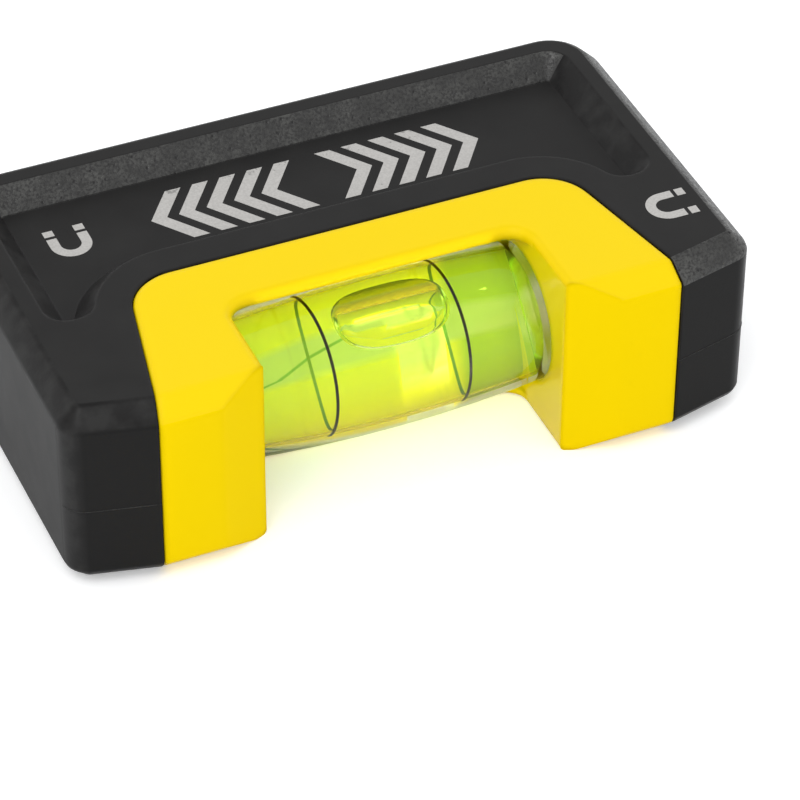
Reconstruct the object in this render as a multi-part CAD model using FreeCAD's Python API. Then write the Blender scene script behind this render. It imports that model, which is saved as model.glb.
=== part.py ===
"""Pocket level: a black die-cast body, a yellow vial holder and a barrel vial between its arms.

All sizes are in millimetres.  The level lies on its back: X runs along its length, -Y is the
open edge with the vial, +Y is the flat base edge with the magnets, and Z rises from the back.
"""

import math
import os

import FreeCAD
import Part
from FreeCAD import Vector

os.makedirs("parts", exist_ok=True)

# Overall size of the body
BODY_LENGTH = 75.0
BODY_WIDTH = 44.4
BODY_THICKNESS = 22.0

# Outline of the casting
EDGE_BEVEL = 2.0
EDGE_BREAK = 0.3
SHOULDER_DROP = 2.2
END_CORNER_RADIUS = 2.8
BASE_CORNER_RADIUS = 6.0

# Sunken panel in the front and in the back
RIM_WIDTH = 2.0
PANEL_DEPTH = 2.35
PANEL_WALL_RUN = 2.25
PANEL_FLOOR_CORNER = 0.35
PANEL_LAND = 3.7
PANEL_NEAR_END_Y = -3.5

# Vial holder, pressed into the casting from the open edge
SHOULDER_LENGTH = 9.2
HOLDER_FLANK_TAPER = 4.25
HOLDER_REAR_Y = -2.1
HOLDER_CORNER_RADIUS = 5.5
HOLDER_FIT = 0.08
HOLDER_BEVEL_SOFTENING = 0.9
HOLDER_FLANK_BREAK = 0.25
ARM_GAP_HALF = 16.4
ARM_FACET_INNER_Y = -19.6
ARM_FACET_OUTER_HALF = 21.7
GAP_REAR_Y = -9.1
GAP_CORNER_RADIUS = 2.5
GAP_LIP_CHAMFER = 0.5

# Chamber of the holder: the rear of the gap is hollowed under a thin lip on either face
LIP_THICKNESS = 1.25
CHAMBER_REAR_Y = -3.4

# Rear rib of the holder, seated in a groove of the casting behind the vial
RIB_HEIGHT = 11.0
RIB_REACH = 2.6
RIB_HALF_LENGTH = 19.0
RIB_CORNER_RADIUS = 1.5

# Vial
VIAL_AXIS_Y = -9.25
VIAL_RADIUS = 8.3
VIAL_CROWN_RADIUS = 160.0
CROWN_TAPERS = 3
VIAL_END_CHAMFER = 0.4
VIAL_SEAT_DEPTH = 1.3
VIAL_SEAT_GAP = 0.12
BORE_RADIUS = 4.93
BORE_CENTRE_X = 0.6
BORE_HALF_LENGTH = 15.7
BORE_CROWN_RADIUS = 245.0
PLUG_FIT = 0.03
PLUG_EDGE_CHAMFER = 0.3

# Graduation rings in shallow grooves of the bore
RING_OFFSET = 7.3
RING_WIDTH = 0.3
RING_DEPTH = 0.12

# Air bubble, a lens resting under the crown of the bore
BUBBLE_CENTRE_X = 1.4
BUBBLE_HALF_LENGTH = 6.3
BUBBLE_THICKNESS = 2.0
BUBBLE_CROWN_GAP = 0.5
BUBBLE_FILM = 0.12

# Disc magnets, two in the base edge and one in the right-hand end
MAGNET_RADIUS = 4.0
MAGNET_HEIGHT = 3.0
MAGNET_SINK = 0.1
MAGNET_FIT = 0.08
MAGNET_POCKET_RELIEF = 0.1
BASE_MAGNET_OFFSET = 22.0
END_MAGNET_Y = -1.5

# Cutting tools pass the faces they cut by this much, and edges are found to within a hair
OVERRUN = 1.0
HAIR = 1e-4

half_length = BODY_LENGTH / 2
half_width = BODY_WIDTH / 2
mid_height = BODY_THICKNESS / 2
near_y = -half_width
base_y = half_width
holder_mouth_half = half_length - SHOULDER_LENGTH
vial_half_length = ARM_GAP_HALF + VIAL_SEAT_DEPTH - VIAL_SEAT_GAP
vial_centre = Vector(0, VIAL_AXIS_Y, mid_height)
plug_start = vial_centre + Vector(BORE_CENTRE_X + BORE_HALF_LENGTH, 0, 0)


def rounded_wire(corners, height):
    """Closed outline through (x, y, radius) corners, each rounded by its radius."""
    count = len(corners)
    stations = []
    for index, (x, y, radius) in enumerate(corners):
        here = Vector(x, y, height)
        before = Vector(*corners[index - 1][:2], height)
        after = Vector(*corners[(index + 1) % count][:2], height)
        to_before = (before - here).normalize()
        to_after = (after - here).normalize()
        half_angle = to_before.getAngle(to_after) / 2
        if radius == 0:
            stations.append((here, here, here))
            continue
        reach = radius / math.tan(half_angle)
        bisector = (to_before + to_after).normalize()
        depth = radius / math.sin(half_angle) - radius
        stations.append((here + to_before * reach, here + bisector * depth, here + to_after * reach))
    edges = []
    for index, (start, middle, end) in enumerate(stations):
        if start != end:
            edges.append(Part.Arc(start, middle, end).toShape())
        following = stations[(index + 1) % count][0]
        edges.append(Part.LineSegment(end, following).toShape())
    return Part.Wire(edges)


def prism(corners, bottom, height):
    """Upright prism over a rounded outline."""
    return Part.Face(rounded_wire(corners, bottom)).extrude(Vector(0, 0, height))


def mirrored(right_half):
    """Whole outline from its right-hand corners, which run from the near side to the far side."""
    left_half = [(-x, y, radius) for x, y, radius in reversed(right_half)]
    return right_half + left_half


def edges_where(shape, test):
    return [edge for edge in shape.Edges if test(edge)]


def lies_at_height(edge, height):
    box = edge.BoundBox
    return abs(box.ZMin - height) < HAIR and abs(box.ZMax - height) < HAIR


def lies_on_a_face(edge):
    return lies_at_height(edge, 0) or lies_at_height(edge, BODY_THICKNESS)


def is_upright(edge):
    box = edge.BoundBox
    return box.ZLength > HAIR and box.XLength < HAIR and box.YLength < HAIR


def on_profile(x, radius):
    return vial_centre + Vector(x, 0, radius)


def crowned_radius(x, radius, crown_radius):
    """Radius of a barrel at distance x from its middle."""
    return radius - crown_radius + math.sqrt(crown_radius ** 2 - x ** 2)


def barrel(radius, crown_radius, half_span, middle_x=0):
    """Barrel solid about the vial's axis, its crown turned as a row of equal tapers."""
    corners = [on_profile(middle_x - half_span, 0)]
    for index in range(CROWN_TAPERS + 1):
        x = half_span * (2 * index / CROWN_TAPERS - 1)
        corners.append(on_profile(middle_x + x, crowned_radius(x, radius, crown_radius)))
    corners.append(on_profile(middle_x + half_span, 0))
    profile = Part.Face(Part.makePolygon(corners + corners[:1]))
    return profile.revolve(vial_centre, Vector(1, 0, 0), 360)


def disc(centre, direction, radius, height):
    return Part.makeCylinder(radius, height, centre, direction)


# The holder's flanks open towards the near edge
flank_slope = HOLDER_FLANK_TAPER / (HOLDER_REAR_Y - near_y)
flank_stretch = math.hypot(1, flank_slope)


def flank_half(y, growth):
    """Half width between the flanks at y, for an outline grown by the given distance."""
    return holder_mouth_half + (near_y - y) * flank_slope + growth * flank_stretch


def holder_outline(growth, near_limit):
    """Outline of the holder, grown evenly all round and carried on to the near limit."""
    rear_y = HOLDER_REAR_Y + growth
    return mirrored([
        (flank_half(near_limit, growth), near_limit, 0),
        (flank_half(rear_y, growth), rear_y, HOLDER_CORNER_RADIUS + growth),
    ])


def casting_outline():
    """Outline of the casting with its shoulders falling back beside the holder."""
    return mirrored([
        (holder_mouth_half, near_y, 0),
        (half_length, near_y + SHOULDER_DROP, END_CORNER_RADIUS),
        (half_length, base_y, BASE_CORNER_RADIUS),
    ])


def bevelled_blank():
    """Whole block of the level, bevelled round both faces."""
    blank = prism(casting_outline(), 0, BODY_THICKNESS)
    return blank.makeChamfer(EDGE_BEVEL, edges_where(blank, lies_on_a_face))


def panel_tool():
    """Straight-sided tool with the outline of the panel's floor, standing on the front panel."""
    floor_half = half_length - EDGE_BEVEL - RIM_WIDTH - PANEL_WALL_RUN
    floor_far_y = base_y - EDGE_BEVEL - RIM_WIDTH - PANEL_WALL_RUN
    floor_height = BODY_THICKNESS - PANEL_DEPTH
    block = prism(
        mirrored([(floor_half, PANEL_NEAR_END_Y, 0), (floor_half, floor_far_y, 0)]),
        floor_height,
        PANEL_DEPTH + OVERRUN,
    )
    holder_side = prism(
        holder_outline(PANEL_LAND + PANEL_WALL_RUN, near_y),
        floor_height - OVERRUN,
        PANEL_DEPTH + 3 * OVERRUN,
    )
    tool = block.cut(holder_side)
    return tool.makeFillet(PANEL_FLOOR_CORNER, edges_where(tool, is_upright_corner))


def is_upright_corner(edge):
    """Sharp upright edges of the panel tool; the round behind the holder has seams, no corners."""
    return is_upright(edge) and abs(edge.BoundBox.XMin) > holder_mouth_half


def sink_panel(casting, tool, face_height):
    """Cut one panel and slope its walls outwards."""
    cut = casting.cut(tool)
    rim_inset = EDGE_BEVEL + RIM_WIDTH

    def is_panel_mouth(edge):
        box = edge.BoundBox
        inside_ends = max(abs(box.XMin), abs(box.XMax)) < half_length - rim_inset
        inside = inside_ends and box.YMax < base_y - rim_inset
        beside_holder = box.YMin > PANEL_NEAR_END_Y - OVERRUN
        return inside and beside_holder and lies_at_height(edge, face_height)

    return cut.makeChamfer(PANEL_WALL_RUN, edges_where(cut, is_panel_mouth))


def base_magnet_place(side):
    return Vector(side * BASE_MAGNET_OFFSET, base_y, mid_height)


def end_magnet_place():
    return Vector(half_length, END_MAGNET_Y, mid_height)


def magnet_pocket(place, outward):
    depth = MAGNET_SINK + MAGNET_HEIGHT + MAGNET_POCKET_RELIEF
    return disc(place - outward * depth, outward, MAGNET_RADIUS + MAGNET_FIT, depth + OVERRUN)


def magnet(place, outward):
    rear = place - outward * (MAGNET_SINK + MAGNET_HEIGHT)
    return disc(rear, outward, MAGNET_RADIUS, MAGNET_HEIGHT)


def rib_block(growth):
    """Rear rib of the holder, or the groove for it when grown."""
    half = RIB_HALF_LENGTH + growth
    rear_y = HOLDER_REAR_Y + RIB_REACH + growth
    corners = mirrored([(half, GAP_REAR_Y, 0), (half, rear_y, RIB_CORNER_RADIUS)])
    return prism(corners, mid_height - RIB_HEIGHT / 2 - growth, RIB_HEIGHT + 2 * growth)


def body_casting():
    casting = bevelled_blank()

    def bounds_the_bevel(edge):
        side_edge = lies_at_height(edge, EDGE_BEVEL)
        opposite_side_edge = lies_at_height(edge, BODY_THICKNESS - EDGE_BEVEL)
        return lies_on_a_face(edge) or side_edge or opposite_side_edge

    casting = casting.makeChamfer(EDGE_BREAK, edges_where(casting, bounds_the_bevel))

    front_tool = panel_tool()
    back_tool = front_tool.mirror(Vector(0, 0, mid_height), Vector(0, 0, 1))
    casting = sink_panel(casting, front_tool, BODY_THICKNESS)
    casting = sink_panel(casting, back_tool, 0)

    pocket = prism(
        holder_outline(HOLDER_FIT, near_y - OVERRUN), -OVERRUN, BODY_THICKNESS + 2 * OVERRUN
    )
    casting = casting.cut(pocket).cut(rib_block(HOLDER_FIT))

    for side in (-1, 1):
        casting = casting.cut(magnet_pocket(base_magnet_place(side), Vector(0, 1, 0)))
    casting = casting.cut(magnet_pocket(end_magnet_place(), Vector(1, 0, 0)))
    return casting


def vial_holder():
    bow = bevelled_blank().common(prism(holder_outline(0, near_y), 0, BODY_THICKNESS))

    def bounds_the_near_bevel(edge):
        box = edge.BoundBox
        on_near_bevel = box.YMax < near_y + EDGE_BEVEL + HAIR
        return on_near_bevel and box.YLength < HAIR and box.ZLength < HAIR

    bow = bow.makeFillet(HOLDER_BEVEL_SOFTENING, edges_where(bow, bounds_the_near_bevel))

    def is_flank_or_rear_edge(edge):
        return lies_on_a_face(edge) and edge.BoundBox.YMax > near_y + EDGE_BEVEL + OVERRUN

    bow = bow.makeChamfer(HOLDER_FLANK_BREAK, edges_where(bow, is_flank_or_rear_edge))

    gap_mouth_y = near_y - OVERRUN
    facet_slope = (ARM_FACET_OUTER_HALF - ARM_GAP_HALF) / (near_y - ARM_FACET_INNER_Y)
    gap = prism(
        mirrored([
            (ARM_GAP_HALF + (gap_mouth_y - ARM_FACET_INNER_Y) * facet_slope, gap_mouth_y, 0),
            (ARM_GAP_HALF, ARM_FACET_INNER_Y, 0),
            (ARM_GAP_HALF, GAP_REAR_Y, GAP_CORNER_RADIUS),
        ]),
        -OVERRUN,
        BODY_THICKNESS + 2 * OVERRUN,
    )
    bow = bow.cut(gap)

    def is_gap_lip(edge):
        box = edge.BoundBox
        beside_gap = max(abs(box.XMin), abs(box.XMax)) < ARM_GAP_HALF + HAIR
        in_gap = box.YMin > ARM_FACET_INNER_Y - HAIR and box.YMax < GAP_REAR_Y + HAIR
        return lies_on_a_face(edge) and beside_gap and in_gap

    bow = bow.makeChamfer(GAP_LIP_CHAMFER, edges_where(bow, is_gap_lip))
    bow = bow.fuse(rib_block(0))
    chamber = Part.makeBox(
        2 * ARM_GAP_HALF,
        CHAMBER_REAR_Y - ARM_FACET_INNER_Y,
        BODY_THICKNESS - 2 * LIP_THICKNESS,
        Vector(-ARM_GAP_HALF, ARM_FACET_INNER_Y, LIP_THICKNESS),
    )
    seat = barrel(VIAL_RADIUS + VIAL_SEAT_GAP, VIAL_CROWN_RADIUS, ARM_GAP_HALF + VIAL_SEAT_DEPTH)
    return bow.cut(chamber).cut(seat).removeSplitter()


def bore_barrel(radius):
    return barrel(radius, BORE_CROWN_RADIUS, BORE_HALF_LENGTH, BORE_CENTRE_X)


def plug_radius():
    return crowned_radius(BORE_HALF_LENGTH, BORE_RADIUS, BORE_CROWN_RADIUS)


def ring_band(side):
    """Ring that follows the crown of the bore, cut from a thin barrel shell."""
    start = vial_centre + Vector(BORE_CENTRE_X + side * RING_OFFSET - RING_WIDTH / 2, 0, 0)
    slice_ = disc(start, Vector(1, 0, 0), BORE_RADIUS + OVERRUN, RING_WIDTH)
    return bore_barrel(BORE_RADIUS + RING_DEPTH).cut(bore_barrel(BORE_RADIUS)).common(slice_)


def vial_tube():
    tube = barrel(VIAL_RADIUS, VIAL_CROWN_RADIUS, vial_half_length)

    def is_end_rim(edge):
        return abs(edge.BoundBox.XMin) > vial_half_length - HAIR and edge.BoundBox.XLength < HAIR

    tube = tube.makeChamfer(VIAL_END_CHAMFER, edges_where(tube, is_end_rim))
    mouth = disc(plug_start, Vector(1, 0, 0), plug_radius(), vial_half_length)
    tube = tube.cut(bore_barrel(BORE_RADIUS)).cut(mouth)
    for side in (-1, 1):
        tube = tube.cut(ring_band(side))
    return tube


def vial_plug():
    plug = disc(plug_start, Vector(1, 0, 0), plug_radius() - PLUG_FIT, vial_half_length - plug_start.x)
    outer_rim = edges_where(plug, lambda edge: edge.BoundBox.XMin > vial_half_length - HAIR)
    return plug.makeChamfer(PLUG_EDGE_CHAMFER, outer_rim)


def bubble_shape(growth):
    """Lens of air between the crown of the bore and a round underside that lies across the vial."""
    crown_height = BORE_RADIUS - BUBBLE_CROWN_GAP
    crown = bore_barrel(crown_height + growth)
    underside_radius = (BUBBLE_HALF_LENGTH ** 2 + BUBBLE_THICKNESS ** 2) / (2 * BUBBLE_THICKNESS)
    underside_height = crown_height - BUBBLE_THICKNESS + underside_radius
    underside = disc(
        vial_centre + Vector(BUBBLE_CENTRE_X, -BORE_RADIUS, underside_height),
        Vector(0, 1, 0),
        underside_radius + growth,
        2 * BORE_RADIUS,
    )
    return crown.common(underside)


def spirit():
    return bore_barrel(BORE_RADIUS).cut(bubble_shape(BUBBLE_FILM))


nodes = {
    "body_casting": body_casting(),
    "vial_holder": vial_holder(),
    "vial_tube": vial_tube(),
    "vial_plug": vial_plug(),
    "spirit": spirit(),
    "bubble": bubble_shape(0),
    "vial_ring_left": ring_band(-1),
    "vial_ring_right": ring_band(1),
    "base_magnet_left": magnet(base_magnet_place(-1), Vector(0, 1, 0)),
    "base_magnet_right": magnet(base_magnet_place(1), Vector(0, 1, 0)),
    "end_magnet": magnet(end_magnet_place(), Vector(1, 0, 0)),
}

for node, shape in nodes.items():
    solids = shape.Solids
    if not shape.isValid() or len(solids) != 1:
        raise RuntimeError(f"{node} is not one valid solid: {len(solids)} solids")
    shape = solids[0]
    shape.exportStep(f"parts/{node}.step")
    print(f"{node}: {shape.Volume / 1000:.3f} cm3, {shape.BoundBox}")
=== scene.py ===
"""Looks of the pocket level: finishes, clear vial, printed marks and a plain studio stage."""

import math

import bmesh
import bpy
from bpy.props import FloatProperty, FloatVectorProperty, IntProperty, PointerProperty
from mathutils import Matrix, Vector
from mathutils.bvhtree import BVHTree


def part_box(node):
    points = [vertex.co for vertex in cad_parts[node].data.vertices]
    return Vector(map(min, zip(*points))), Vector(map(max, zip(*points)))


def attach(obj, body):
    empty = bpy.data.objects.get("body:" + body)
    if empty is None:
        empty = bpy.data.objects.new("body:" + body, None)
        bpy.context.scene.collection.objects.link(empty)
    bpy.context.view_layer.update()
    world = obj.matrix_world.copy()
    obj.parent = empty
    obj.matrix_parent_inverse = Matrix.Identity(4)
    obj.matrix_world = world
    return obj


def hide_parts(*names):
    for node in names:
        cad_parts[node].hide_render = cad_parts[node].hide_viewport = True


bl_info = {
    "name": "Pocket Level",
    "version": (1, 0, 0),
    "blender": (4, 5, 0),
    "location": "View3D > Sidebar > Pocket Level",
    "description": "Builds the looks of a pocket level round its packed frame",
    "category": "Object",
}

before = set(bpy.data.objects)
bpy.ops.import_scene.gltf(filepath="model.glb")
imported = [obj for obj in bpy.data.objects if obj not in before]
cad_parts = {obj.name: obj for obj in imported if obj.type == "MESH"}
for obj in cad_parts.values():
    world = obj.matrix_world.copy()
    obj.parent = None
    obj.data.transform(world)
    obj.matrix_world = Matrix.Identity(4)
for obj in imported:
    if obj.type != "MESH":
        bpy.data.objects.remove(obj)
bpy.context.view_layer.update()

MM = 0.001
WELD = 1e-6
FLAT_ANGLE = math.radians(0.4)
ROUND_ANGLE = math.radians(40)
EVEN_ANGLE = math.radians(35)
EDGE_SEGMENTS = 3
ACRYLIC_INDEX = 1.49
SPIRIT_INDEX = 1.41
FLOOR_HALF = 3.0
FLOOR_WHITE = 0.96
FLOOR_LIFT = 0.3

tube_low, tube_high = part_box("vial_tube")
vial_centre = (tube_low + tube_high) / 2
spirit_low, spirit_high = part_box("spirit")
bore_centre = (spirit_low + spirit_high) / 2
bubble_low, bubble_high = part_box("bubble")
casting_low, casting_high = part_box("body_casting")


def length(name, description, default):
    return FloatProperty(
        name=name, description=description, default=default, unit="LENGTH", subtype="DISTANCE"
    )


def colour(name, description, default):
    return FloatVectorProperty(
        name=name, description=description, default=default, subtype="COLOR", min=0, max=1
    )


class CastingSettings(bpy.types.PropertyGroup):
    edge_round: length("Edge round", "Softening of the casting's crisp edges", 0.2 * MM)
    soft_edge: length("Soft edge", "Width over which its edges shade softly", 0.45 * MM)
    grain_size: length("Grain size", "Size of the paint's grain on the rough walls", 0.30 * MM)
    grain_depth: length("Grain depth", "Height of the paint's grain", 0.07 * MM)
    coat: colour("Coat", "Black enamel on the casting", (0.0075, 0.0070, 0.0070))
    worn_coat: colour("Worn coat", "Lighter shade of the enamel", (0.020, 0.0195, 0.019))
    rough_coat: colour("Rough coat", "Grey of the rough walls' grain", (0.075, 0.075, 0.070))


class HolderSettings(bpy.types.PropertyGroup):
    edge_round: length("Edge round", "Softening of the holder's edges", 0.3 * MM)
    soft_edge: length("Soft edge", "Width over which its edges shade softly", 1.0 * MM)
    plastic: colour("Plastic", "Yellow moulded plastic", (0.90, 0.645, 0.0))
    # Painted light: the pale colour below, and the band, patch, streak, lower lip and roof that it fills,
    # stand in for light falling on the seat behind the vial.
    painted_light_colour: colour("Glue", "Pale glue that bonds the vial to its seat", (0.62, 0.52, 0.95))
    light_band_low: length("Glue low", "Lower edge of the bead of glue", 5.35 * MM)
    light_band_high: length("Glue high", "Upper edge of the bead of glue", 6.4 * MM)
    light_patch_place: length("Drop place", "Where a drop of glue ran down the seat", 5.8 * MM)
    light_patch_half: length("Drop half width", "Half width of that drop", 2.5 * MM)
    light_patch_low: length("Drop low", "Lower edge of that drop", 4.6 * MM)
    light_streak_place: length("Smear place", "Middle of a smear of glue above the bead", 3.6 * MM)
    light_streak_half: length("Smear half width", "Half width of that smear", 3.6 * MM)
    light_streak_low: length("Smear low", "Lower edge of the smear", 6.75 * MM)
    light_streak_high: length("Smear high", "Upper edge of the smear", 7.2 * MM)
    lit_lower_lip_high: length("Pool high", "Top of the glue on the lower lip", 1.35 * MM)
    lit_roof_low: length("Roof low", "Where glue under the upper lip starts", 20.6 * MM)
    shade_start: length("Shade start", "Where the seat falls into the shade of the arm", 9.3 * MM)
    # A thin dark teal line on the seat: its height at the middle and its rise along X.
    dark_line_low: length("Seam", "Height of the glue's seam at the middle of the seat", 6.34 * MM)
    dark_line_slope: FloatProperty(name="Seam slope", description="Rise of that seam along X", default=0.093)


class VialSettings(bpy.types.PropertyGroup):
    radius: length("Radius", "Widest radius of the vial", 8.3 * MM)
    crown_radius: length("Crown radius", "Radius of the vial's crown", 160 * MM)
    bore_radius: length("Bore radius", "Widest radius of the bore", 4.93 * MM)
    bore_crown_radius: length("Bore crown radius", "Radius of the bore's crown", 245 * MM)
    end_round: length("End round", "Rounding of the vial's end rims", 0.4 * MM)
    bore_end_round: length("Bore end round", "Rounding of the bore's end corners", 0.3 * MM)
    ring_depth: length("Ring depth", "How far the rings sit in the bore's wall", 0.06 * MM)
    clear: colour("Clear plastic", "Colour of the clear vial", (0.985, 0.995, 0.97))
    tint: colour("Tint", "Colour of the spirit at its skin", (0.95, 0.98, 0.75))
    shade: colour("Shade", "Colour of the spirit's shade at its skin", (0.88, 0.94, 0.45))
    spirit: colour("Spirit", "Colour that the dyed spirit lets through", (0.80, 0.95, 0.0))
    spirit_density: FloatProperty(
        name="Spirit density", description="Strength of the spirit's dye", default=55.0, min=0
    )
    # Painted glow: the dye's fluorescence, made an emission that shines whatever light reaches the spirit.
    painted_glow: colour("Glow", "Colour in which the dye glows in daylight", (0.53, 0.92, 0.05))
    painted_glow_strength: FloatProperty(
        name="Glow strength", description="Strength of the dye's glow", default=43.0, min=0
    )


class BubbleSettings(bpy.types.PropertyGroup):
    half_width: length("Half width", "Half width of the bubble", 3.25 * MM)
    floor_rise: length("Floor rise", "Height of the bubble's level underside over the axis", 2.45 * MM)
    crown_gap: length("Crown gap", "Film of spirit over the bubble", 0.5 * MM)
    squareness: FloatProperty(
        name="Squareness", description="2 is an ellipse from above, more is squarer", default=2.5, min=2
    )


class MarkSettings(bpy.types.PropertyGroup):
    count: IntProperty(name="Count", description="Chevrons in each group", default=5, min=1)
    right_tip: length("Right tip", "Tip of the outermost chevron on the right", 19.8 * MM)
    left_tip: length("Left tip", "Tip of the outermost chevron on the left", -17.2 * MM)
    pitch: length("Pitch", "Distance between chevrons", 3.06 * MM)
    centre_y: length("Centre", "Middle line of the chevrons", 9.26 * MM)
    half_height: length("Half height", "Half height of a chevron", 4.27 * MM)
    arm_run: length("Arm run", "Sideways run of a chevron's arm", 3.1 * MM)
    stroke: length("Stroke", "Width of a chevron's stroke along the level", 1.74 * MM)
    thickness: length("Thickness", "Thickness of the print", 0.02 * MM)
    magnet_half_width: length("Magnet half width", "Half width of a magnet mark", 2.2 * MM)
    magnet_band: length("Magnet band", "Width of a magnet mark's band", 1.1 * MM)
    magnet_leg: length("Magnet leg", "Straight leg of a magnet mark", 1.4 * MM)
    magnet_gap: length("Magnet gap", "Gap before a magnet mark's tip", 0.42 * MM)
    magnet_tip: length("Magnet tip", "Length of a magnet mark's tip", 0.95 * MM)
    ink: colour("Ink", "Pale grey print", (0.49, 0.475, 0.455))


class StageSettings(bpy.types.PropertyGroup):
    camera_place: FloatVectorProperty(
        name="Camera place",
        description="Where the camera stands",
        default=(-126.7417 * MM, -303.6448 * MM, 269.9639 * MM),
        subtype="TRANSLATION",
        unit="LENGTH",
    )
    camera_azimuth: FloatProperty(
        name="Azimuth", description="Camera's turn about the level",
        default=math.radians(-23.7506), subtype="ANGLE", unit="ROTATION",
    )
    camera_elevation: FloatProperty(
        name="Elevation", description="Camera's height angle",
        default=math.radians(39.6627), subtype="ANGLE", unit="ROTATION",
    )
    camera_roll: FloatProperty(
        name="Roll", description="Camera's roll",
        default=math.radians(0.3677), subtype="ANGLE", unit="ROTATION",
    )
    camera_lens: FloatProperty(
        name="Lens", description="Focal length in millimetres", default=180.71, min=1
    )


# Node helpers

def node_material(name):
    material = bpy.data.materials.new(name)
    material.use_nodes = True
    material.node_tree.nodes.clear()
    return material, Tree(material.node_tree)


class Tree:
    """Short way to add nodes and links to a node tree."""

    def __init__(self, node_tree):
        self.tree = node_tree

    def add(self, kind, settings=None, **inputs):
        """A node with its settings and its inputs, each a value or an output socket."""
        node = self.tree.nodes.new(kind)
        for key, value in (settings or {}).items():
            setattr(node, key, value)
        for key, value in inputs.items():
            self.feed(node.inputs[key.replace("_", " ")], value)
        return node

    def feed(self, socket, value):
        if isinstance(value, bpy.types.NodeSocket):
            self.tree.links.new(value, socket)
        else:
            socket.default_value = value


def rgba(values):
    return (*values, 1.0)


def object_coordinates(tree):
    return tree.add("ShaderNodeTexCoord").outputs["Object"]


def finish_surface(tree, shader, volume=None):
    output = tree.add("ShaderNodeOutputMaterial", Surface=shader)
    if volume is not None:
        tree.feed(output.inputs["Volume"], volume)


def noise(tree, coordinates, feature, detail=3.0, roughness=0.5):
    return tree.add(
        "ShaderNodeTexNoise", Vector=coordinates, Scale=1 / feature, Detail=detail, Roughness=roughness
    )


def graded(tree, value, low, high, at_low, at_high):
    """Value carried from one range to another, held at both ends."""
    node = tree.add(
        "ShaderNodeMapRange", Value=value, From_Min=low, From_Max=high, To_Min=at_low, To_Max=at_high
    )
    return node.outputs["Result"]


def blended(tree, amount, first, second):
    """Colour between two others."""
    node = tree.add("ShaderNodeMix", {"data_type": "RGBA"}, Factor=amount, A=first, B=second)
    return node.outputs["Result"]


def mixed(tree, share, first, second):
    """Shader between two others."""
    node = tree.add("ShaderNodeMixShader", Fac=share)
    tree.feed(node.inputs[1], first)
    tree.feed(node.inputs[2], second)
    return node.outputs[0]


def summed(tree, first, second):
    """Two shaders added up."""
    node = tree.add("ShaderNodeAddShader")
    tree.feed(node.inputs[0], first)
    tree.feed(node.inputs[1], second)
    return node.outputs[0]


def component(tree, vector, axis):
    return tree.add("ShaderNodeSeparateXYZ", Vector=vector).outputs[axis]


def normal_along(tree, axis):
    return component(tree, tree.add("ShaderNodeNewGeometry").outputs["Normal"], axis)


def bumped(tree, height, distance, round_edges=0.0):
    """Bumps from a height, over edges that look rounded."""
    node = tree.add("ShaderNodeBump", Height=height, Distance=distance)
    if round_edges:
        rounded = tree.add("ShaderNodeBevel", {"samples": 6}, Radius=round_edges)
        tree.feed(node.inputs["Normal"], rounded.outputs[0])
    return node.outputs["Normal"]


def within(tree, value, low, high, soft):
    """1 between two values, falling to 0 over a soft margin outside them."""
    rise = graded(tree, value, low - soft, low, 0.0, 1.0)
    fall = graded(tree, value, high, high + soft, 1.0, 0.0)
    return times(tree, rise, fall)


def calculated(tree, operation, *values):
    node = tree.add("ShaderNodeMath", {"operation": operation})
    for socket, value in zip(node.inputs, values):
        tree.feed(socket, value)
    return node.outputs[0]


def times(tree, first, second):
    return calculated(tree, "MULTIPLY", first, second)


# Finishes

def enamel(name, settings, base, roughness, level, height, depth):
    """Black enamel of the casting with its base, its shine and its relief."""
    material, tree = node_material(name)
    place = object_coordinates(tree)
    shader = tree.add(
        "ShaderNodeBsdfPrincipled", Base_Color=base(tree, place), Roughness=roughness(tree, place),
        Normal=bumped(tree, height(tree, place), depth, settings.soft_edge),
    )
    shader.inputs["Specular IOR Level"].default_value = level
    finish_surface(tree, shader.outputs[0])
    return material


def cast_coat(settings):
    """Enamel with dull smears; painted shade darkens the walls that face the near side, which are also
    duller.
    """

    def smears(tree, place):
        return noise(tree, place, 2.4 * MM, 3.0).outputs["Fac"]

    # Mask of the walls facing the near side, which get painted shade and a duller finish.
    def shaded_near_walls(tree):
        return graded(tree, normal_along(tree, "Y"), -0.95, -0.75, 1.0, 0.0)

    def base(tree, place):
        amount = graded(tree, smears(tree, place), 0.42, 0.66, 0.0, 1.0)
        smeared = blended(tree, amount, rgba(settings.coat), rgba(settings.worn_coat))
        # Painted shade: the near-facing walls take a darker coat.
        return blended(tree, shaded_near_walls(tree), smeared, rgba(Vector(settings.coat) * 0.55))

    def roughness(tree, place):
        smeared = graded(tree, smears(tree, place), 0.35, 0.65, 0.34, 0.46)
        return tree.add("ShaderNodeMix", Factor=shaded_near_walls(tree), A=smeared, B=0.60).outputs["Result"]

    def grain(tree, place):
        return noise(tree, place, settings.grain_size, 3.0, 0.6).outputs["Fac"]

    return enamel("cast_coat", settings, base, roughness, 0.22, grain, 0.15 * settings.grain_depth)


def satin_coat(settings):
    """Smooth satin enamel on the flat faces."""

    def mottle(tree, place):
        return noise(tree, place, 5 * MM, 3.0).outputs["Fac"]

    def base(tree, place):
        return blended(tree, mottle(tree, place), rgba(settings.coat), rgba(settings.worn_coat))

    def roughness(tree, place):
        return graded(tree, mottle(tree, place), 0.3, 0.7, 0.46, 0.52)

    def skin(tree, place):
        return noise(tree, place, 0.8 * MM, 2.0).outputs["Fac"]

    return enamel("satin_coat", settings, base, roughness, 0.22, skin, 0.004 * MM)


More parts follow.
